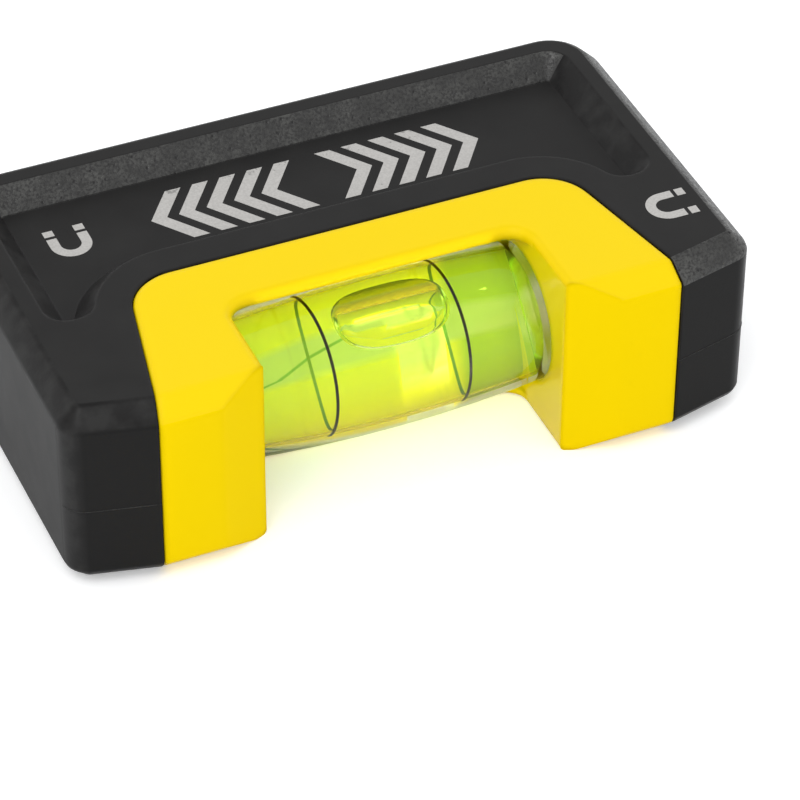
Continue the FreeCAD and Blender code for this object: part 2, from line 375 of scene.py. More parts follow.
def rough_coat(settings):
    """Granular enamel with pits and small glints on the rough cast walls."""

    def grain(tree, place):
        return noise(tree, place, settings.grain_size, 5.0, 0.62).outputs["Fac"]

    def pits(tree, place):
        cells = tree.add("ShaderNodeTexVoronoi", Vector=place, Scale=1 / (3.2 * settings.grain_size))
        return graded(tree, cells.outputs["Distance"], 0.10, 0.22, 0.0, 1.0)

    def base(tree, place):
        amount = graded(tree, grain(tree, place), 0.40, 0.62, 0.0, 1.0)
        patches = noise(tree, place, 2.8 * MM, 2.0).outputs["Fac"]
        amount = times(tree, amount, graded(tree, patches, 0.35, 0.65, 0.35, 1.0))
        shade = blended(tree, amount, rgba(settings.worn_coat), rgba(settings.rough_coat))
        return blended(tree, pits(tree, place), rgba(settings.coat), shade)

    def roughness(tree, place):
        return graded(tree, grain(tree, place), 0.4, 0.6, 0.5, 0.26)

    def relief(tree, place):
        return times(tree, grain(tree, place), pits(tree, place))

    return enamel("rough_coat", settings, base, roughness, 0.5, relief, settings.grain_depth)


def moulding(tree, settings, base, smooth, rough, level):
    """Plastic of a base colour with faint flow marks, from smooth to rough along the flow."""
    place = object_coordinates(tree)
    flow = noise(tree, place, 7 * MM, 2.0).outputs["Fac"]
    skin = noise(tree, place, 1.4 * MM, 2.0).outputs["Fac"]
    shader = tree.add(
        "ShaderNodeBsdfPrincipled", Base_Color=base,
        Roughness=graded(tree, flow, 0.3, 0.7, smooth, rough),
        Normal=bumped(tree, skin, 0.005 * MM, settings.soft_edge),
    )
    shader.inputs["Specular IOR Level"].default_value = level
    finish_surface(tree, shader.outputs[0])


def yellow_moulding(name, settings, smooth, rough, level):
    material, tree = node_material(name)
    moulding(tree, settings, rgba(settings.plastic), smooth, rough, level)
    return material


def seat_with_painted_light(settings):
    """Rear wall of the chamber, seen through the vial, with painted light: a pale band, patch and streak and
    pale lips above and below, painted shade of the arm towards the right end, and a thin dark teal line.
    """
    material, tree = node_material("seat_with_painted_light")
    spot = tree.add("ShaderNodeSeparateXYZ", Vector=object_coordinates(tree)).outputs

    def patch(middle, half, low, high, soft):
        across = within(tree, spot["X"], middle - half, middle + half, 0.08 * MM)
        return times(tree, across, within(tree, spot["Z"], low, high, soft))

    # Painted light on the seat: a pale band, a patch, a streak and both lips.
    light_band = within(tree, spot["Z"], settings.light_band_low, settings.light_band_high, 0.35 * MM)
    light_patch = patch(settings.light_patch_place, settings.light_patch_half, settings.light_patch_low, settings.light_band_low, 1.2 * MM)
    light_streak = patch(
        settings.light_streak_place, settings.light_streak_half, settings.light_streak_low, settings.light_streak_high, 0.15 * MM
    )
    lit_lower_lip = graded(tree, spot["Z"], settings.lit_lower_lip_high, settings.lit_lower_lip_high + 0.2 * MM, 1.0, 0.0)
    lit_roof = graded(tree, spot["Z"], settings.lit_roof_low - 0.2 * MM, settings.lit_roof_low, 0.0, 1.0)
    painted_light = light_band
    for part in (light_patch, light_streak, lit_lower_lip, lit_roof):
        painted_light = calculated(tree, "MAXIMUM", painted_light, part)
    shaded = graded(tree, spot["X"], settings.shade_start, settings.shade_start + 1.2 * MM, 0.0, 0.75)
    bare = blended(tree, shaded, rgba(settings.plastic), (0.22, 0.30, 0.0, 1))
    base = blended(tree, painted_light, bare, rgba(settings.painted_light_colour))

    # A thin dark teal line across the left half of the seat, rising along X.
    lean = calculated(tree, "MULTIPLY_ADD", spot["X"], -settings.dark_line_slope, spot["Z"])
    dark_line = times(
        tree, within(tree, lean, settings.dark_line_low, settings.dark_line_low + 0.06 * MM, 0.05 * MM),
        graded(tree, spot["X"], -1 * MM, 1 * MM, 1.0, 0.0),
    )
    moulding(tree, settings, blended(tree, dark_line, base, (0.02, 0.14, 0.22, 1)), 0.30, 0.38, 0.1)
    return material


def clear_surface(tree, tint, index, shade=None):
    """Refracting surface that lets light through to what lies behind it, coloured by its shade."""
    glass = tree.add("ShaderNodeBsdfGlass", Color=rgba(tint), IOR=index, Roughness=0.0)
    see_through = tree.add("ShaderNodeBsdfTransparent", Color=rgba(shade or tint))
    in_shadow = tree.add("ShaderNodeLightPath").outputs["Is Shadow Ray"]
    return mixed(tree, in_shadow, glass.outputs[0], see_through.outputs[0])


def clear_plastic(settings):
    material, tree = node_material("clear_plastic")
    finish_surface(tree, clear_surface(tree, settings.clear, ACRYLIC_INDEX))
    return material


def dyed_spirit(settings):
    """Boundary of the spirit inside the clear plastic, with a dye that absorbs, and a painted glow, partly
    the dye's fluorescence, that lights the spirit whatever light reaches it.
    """
    material, tree = node_material("dyed_spirit")
    dye = tree.add(
        "ShaderNodeVolumeAbsorption", Color=rgba(settings.spirit), Density=settings.spirit_density
    )
    # Painted glow in the spirit's volume.
    painted_glow = tree.add("ShaderNodeEmission", Color=rgba(settings.painted_glow), Strength=settings.painted_glow_strength)
    skin = clear_surface(tree, settings.tint, SPIRIT_INDEX / ACRYLIC_INDEX, settings.shade)
    finish_surface(tree, skin, summed(tree, dye.outputs[0], painted_glow.outputs[0]))
    return material


def air_in_spirit():
    """Boundary of the bubble, with painted shade: a dark rim along its far side where it is seen edge on."""
    material, tree = node_material("air_in_spirit")
    edge_on = tree.add("ShaderNodeLayerWeight", Blend=0.5).outputs["Facing"]
    shaded_far_side = graded(tree, normal_along(tree, "Y"), 0.1, 0.4, 0.0, 1.0)
    # Painted shade: a dark diffuse rim where the far side is seen edge on.
    rim = times(tree, graded(tree, edge_on, 0.50, 0.68, 0.0, 0.75), shaded_far_side)
    dark = tree.add("ShaderNodeBsdfDiffuse", Color=(0.05, 0.06, 0.02, 1))
    clear = clear_surface(tree, (1, 1, 1), 1 / SPIRIT_INDEX)
    finish_surface(tree, mixed(tree, rim, clear, dark.outputs[0]))
    return material


def ring_ink(name, dark, light):
    """Matt ink that varies between two shades."""
    material, tree = node_material(name)
    wear = noise(tree, object_coordinates(tree), 0.5 * MM, 2.0).outputs["Fac"]
    base = blended(tree, wear, rgba(dark), rgba(light))
    shader = tree.add("ShaderNodeBsdfPrincipled", Base_Color=base, Roughness=0.6)
    shader.inputs["Specular IOR Level"].default_value = 0.1
    finish_surface(tree, shader.outputs[0])
    return material


def pale_ink(settings):
    """Pale print with fine specks, worn here and there and more at its far ends."""
    material, tree = node_material("pale_ink")
    place = object_coordinates(tree)
    specks = noise(tree, place, 0.22 * MM, 2.0).outputs["Fac"]
    wear = noise(tree, place, 0.9 * MM, 4.0, 0.65).outputs["Fac"]
    far_end = settings.centre_y + settings.half_height
    at_end = graded(tree, component(tree, place, "Y"), far_end - 1.6 * MM, far_end, 0.0, 0.14)
    worst = calculated(tree, "ADD", wear, at_end)
    ink = Vector(settings.ink)
    base = blended(tree, graded(tree, specks, 0.35, 0.7, 0.0, 1.0), rgba(ink * 0.9), rgba(ink * 1.06))
    worn = blended(tree, graded(tree, worst, 0.66, 0.72, 0.0, 0.6), base, rgba(ink * 0.3))
    shader = tree.add("ShaderNodeBsdfPrincipled", Base_Color=worn, Roughness=0.5)
    shader.inputs["Specular IOR Level"].default_value = 0.4
    finish_surface(tree, shader.outputs[0])
    return material


def nickel_plating():
    material, tree = node_material("nickel_plating")
    place = object_coordinates(tree)
    wear = noise(tree, place, 0.6 * MM, 3.0).outputs["Fac"]
    roughness = graded(tree, wear, 0.3, 0.7, 0.18, 0.32)
    base = blended(tree, wear, (0.62, 0.61, 0.59, 1), (0.52, 0.51, 0.49, 1))
    shader = tree.add("ShaderNodeBsdfPrincipled", Base_Color=base, Roughness=roughness, Metallic=1.0)
    finish_surface(tree, shader.outputs[0])
    return material


# Mesh helpers

def new_object(name, mesh):
    made = bpy.data.objects.new(name, mesh)
    bpy.context.scene.collection.objects.link(made)
    return made


def object_from(name, build):
    """Object whose mesh the given bmesh holds."""
    bmesh.ops.recalc_face_normals(build, faces=build.faces)
    mesh = bpy.data.meshes.new(name)
    build.to_mesh(mesh)
    build.free()
    return new_object(name, mesh)


def welded_copy(node, name):
    """Copy of a CAD node with its triangles joined and its flats made whole."""
    build = bmesh.new()
    build.from_mesh(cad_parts[node].data)
    bmesh.ops.remove_doubles(build, verts=build.verts, dist=WELD)
    bmesh.ops.dissolve_limit(
        build, angle_limit=FLAT_ANGLE, verts=build.verts, edges=build.edges, use_dissolve_boundaries=False
    )
    return object_from(name, build)


def shade_smooth(target, angle):
    target.data.shade_smooth()
    target.data.set_sharp_from_angle(angle=angle)


def settled(target):
    """Turns the object and its modifiers into a plain mesh."""
    depsgraph = bpy.context.evaluated_depsgraph_get()
    depsgraph.update()
    mesh = bpy.data.meshes.new_from_object(target.evaluated_get(depsgraph))
    target.modifiers.clear()
    target.data = mesh
    mesh.name = target.name
    return target


def soften_edges(target, width, angle=30.0):
    bevel = target.modifiers.new("edge_round", "BEVEL")
    bevel.width = width
    bevel.segments = EDGE_SEGMENTS
    bevel.limit_method = "ANGLE"
    bevel.angle_limit = math.radians(angle)
    bevel.use_clamp_overlap = True
    settled(target)


def even_shading(target):
    """Flat faces keep a flat look and the narrow bands between them look round."""
    shade_smooth(target, EVEN_ANGLE)
    weighted = target.modifiers.new("even_shading", "WEIGHTED_NORMAL")
    weighted.keep_sharp = True
    weighted.weight = 80
    settled(target)


def wrapped(build, rows):
    """Faces between each closed row of corners and the next."""
    for row, following in zip(rows, rows[1:]):
        for index in range(len(row)):
            after = (index + 1) % len(row)
            build.faces.new((row[index], row[after], following[after], following[index]))


def lathed(name, centre, profile, sides=1024):
    """Closed round solid about the vial's axis from (x, radius) points between two poles."""
    build = bmesh.new()
    first = build.verts.new(centre + Vector((profile[0][0], 0, 0)))
    last = build.verts.new(centre + Vector((profile[-1][0], 0, 0)))
    rows = []
    for x, radius in profile:
        row = []
        for step in range(sides):
            angle = 2 * math.pi * step / sides
            offset = Vector((x, radius * math.cos(angle), radius * math.sin(angle)))
            row.append(build.verts.new(centre + offset))
        rows.append(row)
    wrapped(build, rows)
    for step in range(sides):
        after = (step + 1) % sides
        build.faces.new((first, rows[0][after], rows[0][step]))
        build.faces.new((last, rows[-1][step], rows[-1][after]))
    return object_from(name, build)


def crowned(x, radius, crown_radius):
    """Radius of a barrel at distance x from its middle."""
    return radius - crown_radius + math.sqrt(crown_radius ** 2 - x ** 2)


def barrel_profile(half, radius, crown_radius, end_round, steps=8, corner_steps=6):
    """(x, radius) points of a barrel with rounded end rims."""
    straight = half - end_round
    points = []
    for step in range(corner_steps + 1):
        angle = math.pi / 2 * step / corner_steps
        x = -straight - end_round * math.cos(angle)
        points.append((x, crowned(straight, radius, crown_radius) - end_round * (1 - math.sin(angle))))
    for step in range(1, steps):
        x = straight * (2 * step / steps - 1)
        points.append((x, crowned(x, radius, crown_radius)))
    points += [(-x, r) for x, r in reversed(points[:corner_steps + 1])]
    return points


def casting_surface():
    """The CAD casting's faces, ready for measuring along a line."""
    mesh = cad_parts["body_casting"].data
    return BVHTree.FromPolygons(
        [vertex.co for vertex in mesh.vertices], [tuple(face.vertices) for face in mesh.polygons]
    )


def surface_height(x, y):
    """Height of the casting's front at a place, found from above."""
    above = Vector((x, y, casting_high.z + 10 * MM))
    point = casting_surface().ray_cast(above, Vector((0, 0, -1)))[0]
    if point is None:
        raise RuntimeError(f"the casting has no face at {x}, {y}")
    return point.z


def raised_print(build, outline, height, thickness):
    """Thin closed plate over an outline of (x, y) points."""
    low = [build.verts.new((x, y, height)) for x, y in outline]
    high = [build.verts.new((x, y, height + thickness)) for x, y in outline]
    build.faces.new(list(reversed(low)))
    build.faces.new(high)
    wrapped(build, [low, high])


# Operators

class LEVEL_OT_casting(bpy.types.Operator):
    """Black enamelled casting with grainy walls and satin flats"""

    bl_idname = "level.casting"
    bl_label = "Casting"

    SMEARED, SATIN, ROUGH = range(3)

    def execute(self, context):
        settings = context.scene.level_casting
        casting = welded_copy("body_casting", "black_casting")
        soften_edges(casting, settings.edge_round)
        for coat in (cast_coat, satin_coat, rough_coat):
            casting.data.materials.append(coat(settings))
        for face in casting.data.polygons:
            face.material_index = self.coat_index(face)
        even_shading(casting)
        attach(casting, "level_body")
        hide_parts("body_casting")
        return {"FINISHED"}

    def coat_index(self, face):
        """Satin flats, rough panel walls and right shoulder, smeared bevels and uprights."""
        normal, centre = face.normal, face.center
        slopes_to_vial = normal.y < -0.3 and abs(normal.z) > 0.3
        on_right_shoulder = centre.x > tube_high.x and centre.y < tube_low.y
        bevel_start = casting_high.x - 3 * MM
        on_right_bevel = normal.x > 0.3 and abs(normal.z) > 0.3 and centre.x > bevel_start
        if on_right_bevel or (slopes_to_vial and (centre.y > 0 or on_right_shoulder)):
            return self.ROUGH
        near_wall = normal.y < -0.8 and centre.y < tube_low.y
        squarest = max(abs(component) for component in normal)
        return self.SATIN if squarest > 0.99 and not near_wall else self.SMEARED


class LEVEL_OT_holder(bpy.types.Operator):
    """Yellow moulded vial holder"""

    bl_idname = "level.holder"
    bl_label = "Vial holder"

    PLAIN, POLISHED, SEAT, FRONT = range(4)

    def execute(self, context):
        settings = context.scene.level_holder
        holder = welded_copy("vial_holder", "yellow_holder")
        soften_edges(holder, settings.edge_round)
        finishes = (
            yellow_moulding("yellow_plastic", settings, 0.30, 0.38, 0.12),
            yellow_moulding("yellow_polished", settings, 0.06, 0.10, 0.8),
            seat_with_painted_light(settings),
            yellow_moulding("yellow_front", settings, 0.45, 0.52, 0.02),
        )
        for finish in finishes:
            holder.data.materials.append(finish)
        for face in holder.data.polygons:
            face.material_index = self.finish_index(face)
        even_shading(holder)
        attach(holder, "level_body")
        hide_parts("vial_holder")
        return {"FINISHED"}

    def finish_index(self, face):
        """Polished arm walls in the gap, the seat with painted light, dull near uprights, plain elsewhere."""
        normal, centre = face.normal, face.center
        inside = abs(centre.x) < tube_high.x and 1 * MM < centre.z < casting_high.z - 1 * MM
        if inside and abs(normal.x) > 0.9:
            return self.POLISHED
        on_lip = abs(normal.z) > 0.9
        if inside and (on_lip or normal.y < -0.05) and centre.y > vial_centre.y:
            return self.SEAT
        if centre.y < tube_low.y and abs(normal.z) < 0.4:
            return self.FRONT
        return self.PLAIN


class LEVEL_OT_vial(bpy.types.Operator):
    """Clear barrel vial, its plug bonded in, and the dyed spirit in its bore"""

    bl_idname = "level.vial"
    bl_label = "Vial and spirit"

    def execute(self, context):
        settings = context.scene.level_vial
        half = (tube_high.x - tube_low.x) / 2
        tube = lathed(
            "clear_vial",
            vial_centre,
            barrel_profile(half, settings.radius, settings.crown_radius, settings.end_round),
        )
        shade_smooth(tube, ROUND_ANGLE)
        tube.data.materials.append(clear_plastic(settings))
        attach(tube, "level_body")
        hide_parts("vial_tube", "vial_plug")

        bore_half = (spirit_high.x - spirit_low.x) / 2
        spirit = lathed(
            "dyed_spirit",
            bore_centre,
            barrel_profile(
                bore_half, settings.bore_radius, settings.bore_crown_radius, settings.bore_end_round
            ),
        )
        shade_smooth(spirit, ROUND_ANGLE)
        spirit.data.materials.append(dyed_spirit(settings))
        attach(spirit, "level_body")
        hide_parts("spirit")
        return {"FINISHED"}


class LEVEL_OT_rings(bpy.types.Operator):
    """Two black graduation rings on the wall of the bore"""

    bl_idname = "level.rings"
    bl_label = "Graduation rings"

    def execute(self, context):
        settings = context.scene.level_vial
        ink = ring_ink("black_ink", (0.006, 0.005, 0.004), (0.012, 0.010, 0.008))
        stained = ring_ink("stained_ink", (0.0, 0.022, 0.010), (0.0, 0.035, 0.015))
        for side in ("left", "right"):
            low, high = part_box(f"vial_ring_{side}")
            start, end = low.x - bore_centre.x, high.x - bore_centre.x
            wall = [
                crowned(x, settings.bore_radius, settings.bore_crown_radius) for x in (start, end)
            ]
            ring = self.band(f"ring_{side}", start, end, wall, settings.ring_depth)
            shade_smooth(ring, ROUND_ANGLE)
            ring.data.materials.append(ink)
            ring.data.materials.append(stained)
            for face in ring.data.polygons:
                inward = bore_centre - face.center
                inward.x = 0
                face.material_index = 1 if face.normal.dot(inward.normalized()) > 0.5 else 0
            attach(ring, "level_body")
            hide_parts(f"vial_ring_{side}")
        return {"FINISHED"}

    def band(self, name, start, end, wall, depth, sides=160):
        """Thin closed band, half in the wall and half in the spirit."""
        build = bmesh.new()
        corners = [
            (start, wall[0] + depth), (end, wall[1] + depth), (end, wall[1] - depth), (start, wall[0] - depth)
        ]
        rows = []
        for step in range(sides):
            angle = 2 * math.pi * step / sides
            rows.append([
                build.verts.new(
                    bore_centre + Vector((x, radius * math.cos(angle), radius * math.sin(angle)))
                )
                for x, radius in corners
            ])
        wrapped(build, rows + rows[:1])
        return object_from(name, build)


class LEVEL_OT_bubble(bpy.types.Operator):
    """Air bubble under the crown of the bore, with a level underside and a round rim"""

    bl_idname = "level.bubble"
    bl_label = "Bubble"

    def execute(self, context):
        bubble = object_from("air_lens", self.lens(context.scene.level_bubble, context.scene.level_vial))
        bubble.data.shade_smooth()
        bubble.data.materials.append(air_in_spirit())
        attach(bubble, "air_bubble")
        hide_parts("bubble")
        return {"FINISHED"}

    def lens(self, settings, vial, spokes=144, flat_rings=8, rim_rings=14):
        half_length = (bubble_high.x - bubble_low.x) / 2
        offset = Vector(((bubble_high.x + bubble_low.x) / 2 - bore_centre.x, 0, 0))
        power = settings.squareness

        def crown(x, y):
            base = vial.bore_radius - settings.crown_gap
            return math.sqrt(crowned(x + offset.x, base, vial.bore_crown_radius) ** 2 - y ** 2)

        build = bmesh.new()

        def vertex(x, y, z):
            return build.verts.new(bore_centre + offset + Vector((x, y, z)))

        poles = vertex(0, 0, crown(0, 0)), vertex(0, 0, settings.floor_rise)
        sheets = [], []
        for spoke in range(spokes):
            angle = 2 * math.pi * spoke / spokes
            ahead = math.cos(angle), math.sin(angle)
            reach = abs(ahead[0] / half_length) ** power + abs(ahead[1] / settings.half_width) ** power
            reach = reach ** (-1 / power)
            rim_top = crown(reach * ahead[0], reach * ahead[1])
            middle = (rim_top + settings.floor_rise) / 2
            rim_width = rim_top - middle
            flat = reach - rim_width
            rows = [], []
            for ring in range(1, flat_rings + 1):
                out = flat * ring / flat_rings
                x, y = out * ahead[0], out * ahead[1]
                rows[0].append(vertex(x, y, crown(x, y)))
                rows[1].append(vertex(x, y, settings.floor_rise))
            for ring in range(1, rim_rings):
                turn = math.pi / 2 * ring / rim_rings
                out = flat + rim_width * math.sin(turn)
                x, y = out * ahead[0], out * ahead[1]
                rows[0].append(vertex(x, y, middle + (crown(x, y) - middle) * math.cos(turn)))
                rows[1].append(vertex(x, y, middle - rim_width * math.cos(turn)))
            rim = vertex(reach * ahead[0], reach * ahead[1], middle)
            for sheet, row in zip(sheets, rows):
                sheet.append(row + [rim])
        for pole, sheet in zip(poles, sheets):
            for row, following in zip(sheet, sheet[1:] + sheet[:1]):
                build.faces.new((pole, row[0], following[0]))
                for inner in range(len(row) - 1):
                    build.faces.new((row[inner], row[inner + 1], following[inner + 1], following[inner]))
        return build


class LEVEL_OT_chevrons(bpy.types.Operator):
    """Two groups of printed chevrons on the front panel"""

    bl_idname = "level.chevrons"
    bl_label = "Chevrons"

    def execute(self, context):
        settings = context.scene.level_marks
        ink = pale_ink(settings)
        tree = self.chevron_tree(ink)
        groups = (
            ("chevrons_right", settings.right_tip, 0.0),
            ("chevrons_left", settings.left_tip, math.pi),
        )
        for name, tip, turn in groups:
            holder = new_object(name, bpy.data.meshes.new(name))
            modifier = holder.modifiers.new("chevrons", "NODES")
            modifier.node_group = tree
            height = surface_height(tip, settings.centre_y)
            values = {
                "Count": settings.count,
                "Pitch": settings.pitch,
                "Tip": (tip, settings.centre_y, height),
                "Turn": turn,
                "Half height": settings.half_height,
                "Arm run": settings.arm_run,
                "Stroke": settings.stroke,
                "Thickness": settings.thickness,
            }
            for item in tree.interface.items_tree:
                if item.item_type == "SOCKET" and item.in_out == "INPUT" and item.name in values:
                    modifier[item.identifier] = values[item.name]
            settled(holder)
            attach(holder, "level_body")
        return {"FINISHED"}

    def chevron_tree(self, ink):
        """Row of equal chevrons behind a tip, made from two slanted strokes."""
        group = bpy.data.node_groups.new("chevron_row", "GeometryNodeTree")
        sockets = {
            "Count": "NodeSocketInt", "Pitch": "NodeSocketFloat", "Tip": "NodeSocketVector",
            "Turn": "NodeSocketFloat", "Half height": "NodeSocketFloat", "Arm run": "NodeSocketFloat",
            "Stroke": "NodeSocketFloat", "Thickness": "NodeSocketFloat",
        }
        for name, kind in sockets.items():
            group.interface.new_socket(name=name, in_out="INPUT", socket_type=kind)
        group.interface.new_socket(name="Geometry", in_out="OUTPUT", socket_type="NodeSocketGeometry")
        tree = Tree(group)
        given = group.nodes.new("NodeGroupInput").outputs

        def point(x, y, z=0.0):
            return tree.add("ShaderNodeCombineXYZ", X=x, Y=y, Z=z).outputs[0]

        back = calculated(tree, "MULTIPLY", given["Stroke"], -1.0)
        arm_end = calculated(tree, "MULTIPLY", given["Arm run"], -1.0)
        arm_back = calculated(tree, "ADD", back, arm_end)
        strokes = []
        for side in (1.0, -1.0):
            reach = calculated(tree, "MULTIPLY", given["Half height"], side)
            outline = tree.add("GeometryNodeCurvePrimitiveQuadrilateral", {"mode": "POINTS"})
            corners = (point(0.0, 0.0), point(back, 0.0), point(arm_back, reach), point(arm_end, reach))
            for index, corner in enumerate(corners, 1):
                tree.feed(outline.inputs[f"Point {index}"], corner)
            strokes.append(tree.add("GeometryNodeFillCurve", Curve=outline.outputs[0]).outputs[0])
        joined = tree.add("GeometryNodeJoinGeometry")
        for stroke in strokes:
            group.links.new(stroke, joined.inputs[0])
        welded = tree.add("GeometryNodeMergeByDistance", Geometry=joined.outputs[0], Distance=WELD)
        raised = tree.add(
            "GeometryNodeExtrudeMesh", Mesh=welded.outputs[0], Offset=point(0.0, 0.0, 1.0),
            Offset_Scale=given["Thickness"], Individual=False,
        )
        base = tree.add("GeometryNodeFlipFaces", Mesh=welded.outputs[0])
        plate = tree.add("GeometryNodeJoinGeometry")
        group.links.new(raised.outputs["Mesh"], plate.inputs[0])
        group.links.new(base.outputs[0], plate.inputs[0])
        sealed = tree.add("GeometryNodeMergeByDistance", Geometry=plate.outputs[0], Distance=WELD)

        step = point(calculated(tree, "MULTIPLY", given["Pitch"], -1.0), 0.0)
        turn = point(0.0, 0.0, given["Turn"])
        turned_step = tree.add("ShaderNodeVectorRotate", {"rotation_type": "EULER_XYZ"}, Vector=step)
        tree.feed(turned_step.inputs["Rotation"], turn)
        row = tree.add("GeometryNodeMeshLine", {"mode": "OFFSET"}, Count=given["Count"])
        tree.feed(row.inputs["Start Location"], given["Tip"])
        tree.feed(row.inputs["Offset"], turned_step.outputs[0])
        placed = tree.add(
            "GeometryNodeInstanceOnPoints", Points=row.outputs[0], Instance=sealed.outputs[0]
        )
        to_rotation = tree.add("FunctionNodeEulerToRotation")
        tree.feed(to_rotation.inputs[0], turn)
        tree.feed(placed.inputs["Rotation"], to_rotation.outputs[0])
        real = tree.add("GeometryNodeRealizeInstances", Geometry=placed.outputs[0])
        inked = tree.add("GeometryNodeSetMaterial", Geometry=real.outputs[0], Material=ink)
        output = group.nodes.new("NodeGroupOutput")
        group.links.new(inked.outputs[0], output.inputs[0])
        return group


class LEVEL_OT_magnet_marks(bpy.types.Operator):
    """Horseshoe marks that point at the magnets"""

    bl_idname = "level.magnet_marks"
    bl_label = "Magnet marks"

    left_place: FloatVectorProperty(
        name="Left place", description="Centre of the left mark's bend", size=2,
        default=(-26.1 * MM, 9.0 * MM),
    )
    right_place: FloatVectorProperty(
        name="Right place", description="Centre of the right mark's bend", size=2,
        default=(31.4 * MM, -12.0 * MM),
    )

    def execute(self, context):
        settings = context.scene.level_marks
        ink = pale_ink(settings)
        places = (
            ("magnet_mark_left", self.left_place, math.pi / 2),
            ("magnet_mark_right", self.right_place, 0.0),
        )
        for name, place, turn in places:
            height = surface_height(place[0], place[1])
            build = bmesh.new()
            for outline in self.horseshoe(settings):
                raised_print(build, outline, 0.0, settings.thickness)
            build.transform(
                Matrix.Translation((place[0], place[1], height)) @ Matrix.Rotation(turn, 4, "Z")
            )
            mark = object_from(name, build)
            mark.data.materials.append(ink)
            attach(mark, "level_body")
        return {"FINISHED"}

    def horseshoe(self, settings, steps=24):
        """Bent band and its two tips, opening along X."""
        outer = settings.magnet_half_width
        inner = outer - settings.magnet_band
        leg = settings.magnet_leg
        angles = [math.pi / 2 + math.pi * step / steps for step in range(steps + 1)]
        band = [(leg, outer)]
        band += [(outer * math.cos(a), outer * math.sin(a)) for a in angles]
        band += [(leg, -outer), (leg, -inner)]
        band += [(inner * math.cos(a), inner * math.sin(a)) for a in reversed(angles)]
        band += [(leg, inner)]
        start = leg + settings.magnet_gap
        end = start + settings.magnet_tip
        tips = [
            [(start, side * inner), (end, side * inner), (end, side * outer), (start, side * outer)]
            for side in (1, -1)
        ]
        return [band] + tips


class LEVEL_OT_magnets(bpy.types.Operator):
    """Plated faces of the three disc magnets"""

    bl_idname = "level.magnets"
    bl_label = "Magnets"

    edge_round: length("Edge round", "Softening of the discs' rims", 0.25 * MM)
    rim_angle: FloatProperty(
        name="Rim angle", description="Edges sharper than this are softened, in degrees", default=50.0
    )

    def execute(self, context):
        plating = nickel_plating()
        for node in ("base_magnet_left", "base_magnet_right", "end_magnet"):
            disc = welded_copy(node, f"plated_{node}")
            soften_edges(disc, self.edge_round, self.rim_angle)
            disc.data.materials.append(plating)
            even_shading(disc)
            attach(disc, "level_body")
            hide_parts(node)
        return {"FINISHED"}


class LEVEL_OT_parting_line(bpy.types.Operator):
    """Fine ridge of the casting's parting line on both shoulders"""

    bl_idname = "level.parting_line"
    bl_label = "Parting line"

    height: length("Height", "Height of the ridge above the back", 10.0 * MM)
    width: length("Width", "Width of the ridge", 0.2 * MM)
    proud: length("Proud", "How far the ridge stands out", 0.05 * MM)

    def execute(self, context):
        surface = casting_surface()
        build = bmesh.new()
        for side in (-1, 1):
            self.ridge(build, surface, side)
        ridge = object_from("parting_ridge", build)
        ridge.data.materials.append(bpy.data.materials["rough_coat"])
        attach(ridge, "level_body")
        return {"FINISHED"}

    def ridge(self, build, surface, side, steps=40):
        """Ridge along one shoulder, from the holder to where the end face was milled flat."""
        start_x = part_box("vial_holder")[1].x + 0.15 * MM
        end_x = casting_high.x - 2 * self.proud
        rows = []
        for step in range(steps + 1):
            x = start_x + (end_x - start_x) * math.sin(math.pi / 2 * step / steps)
            origin = Vector((side * x, casting_low.y - 10 * MM, self.height))
            point, normal = surface.ray_cast(origin, Vector((0, 1, 0)))[:2]
            if point is None:
                raise RuntimeError("the parting line finds no casting")
            crest = point + normal * self.proud
            root = point - normal * self.proud
            rows.append([
                build.verts.new(root - Vector((0, 0, self.width / 2))),
                build.verts.new(crest),
                build.verts.new(root + Vector((0, 0, self.width / 2))),
            ])
        wrapped(build, rows)
        build.faces.new(rows[0])
        build.faces.new(rows[-1])


